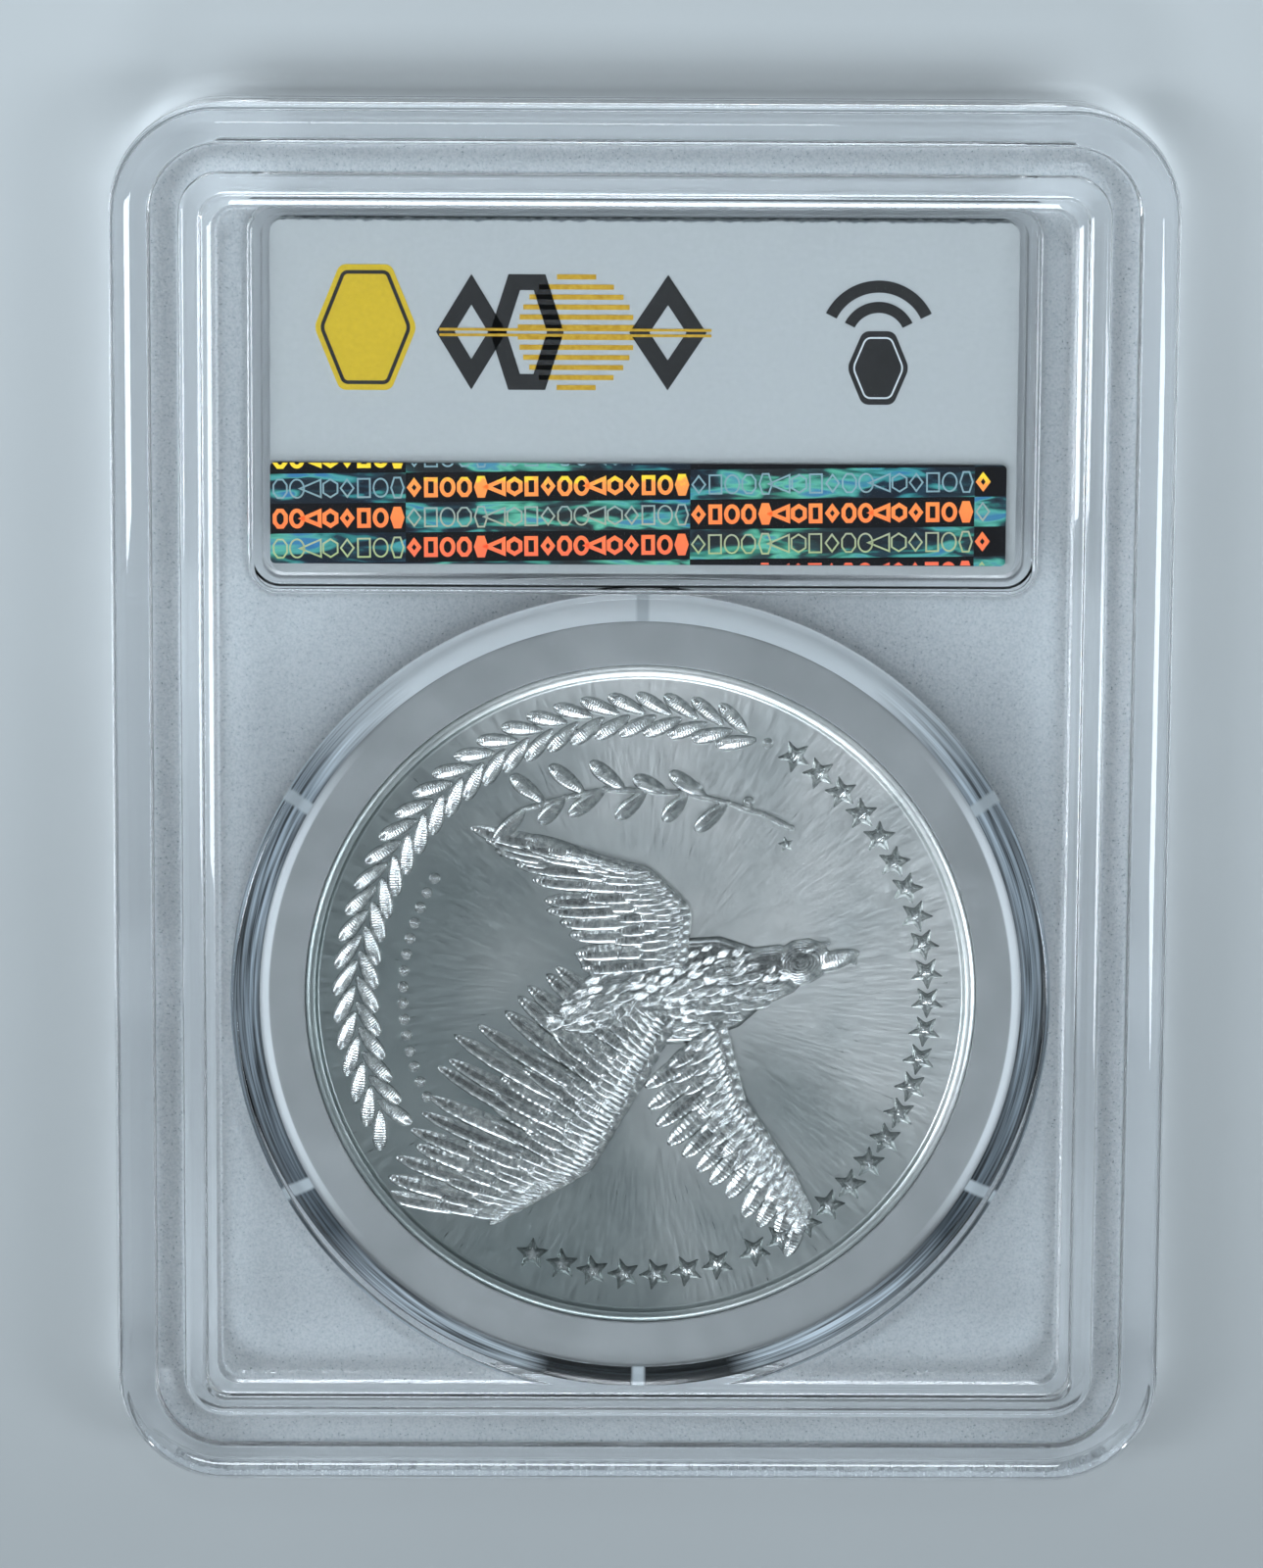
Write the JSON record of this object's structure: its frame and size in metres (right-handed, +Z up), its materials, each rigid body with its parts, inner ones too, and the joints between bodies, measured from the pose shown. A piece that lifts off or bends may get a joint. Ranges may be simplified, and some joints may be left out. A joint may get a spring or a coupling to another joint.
{
  "type": "graded coin slab",
  "caption": "Clear welded plastic slab, rounded and frosted with raised stacking rims, holding a large silver coin in a soft ring below a card label with a foil strip and a radio tag.",
  "frame": {"origin": "middle of the slab's outline, on the plane that its front stacking ridge stands on", "axes": "+Z up out of the rear face, +Y towards the label end, +X to the right with the rear face in view and the label at the top"},
  "size_m": [0.0636, 0.084, 0.0079],
  "materials": {
    "clear_shell": "clear moulded polystyrene, polished windows and rims, frosted fields",
    "weld": "remelted clear polystyrene, bubbly",
    "ring": "translucent, smooth satin",
    "silver": "struck fine silver, satin fields and bright relief",
    "label_card": "coated card, printed",
    "foil": "embossed diffractive foil",
    "tag_film": "clear polyester film",
    "tag_metal": "etched foil",
    "tag_lacquer": "screen-printed lacquer",
    "tag_chip": "bare silicon die"
  },
  "bodies": {
    "root": {"rear_shell": "clear_shell", "front_shell": "clear_shell", "weld_bead": "weld", "coin_ring": "ring", "coin": "silver", "rear_label": "label_card", "front_label": "label_card", "security_foil": "foil", "tag_film": "tag_film", "tag_antenna": "tag_metal", "tag_bridge": "tag_metal", "tag_insulator": "tag_lacquer", "tag_chip": "tag_chip"}
  },
  "joints": []
}
